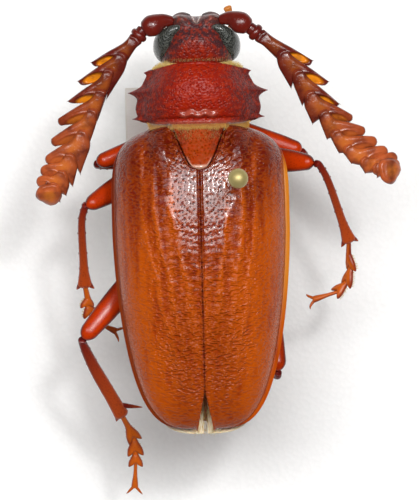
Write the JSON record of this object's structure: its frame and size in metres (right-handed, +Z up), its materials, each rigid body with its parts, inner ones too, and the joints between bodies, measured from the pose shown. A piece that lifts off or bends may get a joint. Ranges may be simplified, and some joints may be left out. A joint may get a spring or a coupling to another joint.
{
  "type": "pinned longhorn beetle specimen",
  "caption": "Dried sand prionus beetle with saw-like feelers and spined shoulders, mounted on an insect pin over a blank label and a white foam block.",
  "frame": {"origin": "middle of the foam block's underside", "axes": "+Z up, out of the beetle's back; +Y towards the head; +X towards the beetle's own right side, where the pin is"},
  "size_m": [0.033, 0.039, 0.0389],
  "materials": {
    "body_red": "shiny punctate horn of a dried insect, dark blood-red",
    "wing_case": "shiny wrinkled horn, red-brown at the root to amber at the sides and tip",
    "antenna_brown": "satin red-brown to orange horn",
    "leg_red": "glossy clear red horn with darker edges",
    "tarsus_amber": "satin amber horn, pale pads below",
    "eye_black": "coarsely faceted, greyish black",
    "wing_membrane": "folded cream-coloured membrane",
    "pin_steel": "plain steel shaft, brassy varnished head",
    "label_card": "blank matt card",
    "foam_white": "fine closed-cell foam"
  },
  "bodies": {
    "root": {"abdomen": "body_red", "antenna_left_flagellum": "antenna_brown", "antenna_left_scape": "antenna_brown", "antenna_right_flagellum": "antenna_brown", "antenna_right_scape": "antenna_brown", "elytron_left": "wing_case", "elytron_right": "wing_case", "eye_left": "eye_black", "eye_right": "eye_black", "head": "body_red", "hind_wing_left": "wing_membrane", "hind_wing_right": "wing_membrane", "insect_pin": "pin_steel", "label": "label_card", "labial_palp_left": "tarsus_amber", "labial_palp_right": "tarsus_amber", "labrum": "body_red", "leg_front_left_coxa": "leg_red", "leg_front_left_femur": "leg_red", "leg_front_left_tarsus": "tarsus_amber", "leg_front_left_tibia": "leg_red", "leg_front_right_coxa": "leg_red", "leg_front_right_femur": "leg_red", "leg_front_right_tarsus": "tarsus_amber", "leg_front_right_tibia": "leg_red", "leg_hind_left_coxa": "leg_red", "leg_hind_left_femur": "leg_red", "leg_hind_left_tarsus": "tarsus_amber", "leg_hind_left_tibia": "leg_red", "leg_hind_right_coxa": "leg_red", "leg_hind_right_femur": "leg_red", "leg_hind_right_tarsus": "tarsus_amber", "leg_hind_right_tibia": "leg_red", "leg_middle_left_coxa": "leg_red", "leg_middle_left_femur": "leg_red", "leg_middle_left_tarsus": "tarsus_amber", "leg_middle_left_tibia": "leg_red", "leg_middle_right_coxa": "leg_red", "leg_middle_right_femur": "leg_red", "leg_middle_right_tarsus": "tarsus_amber", "leg_middle_right_tibia": "leg_red", "mandible_left": "body_red", "mandible_right": "body_red", "maxillary_palp_left": "tarsus_amber", "maxillary_palp_right": "tarsus_amber", "mesothorax": "body_red", "metathorax": "body_red", "prothorax": "body_red", "scutellum": "body_red", "stand_base": "foam_white"}
  },
  "joints": []
}
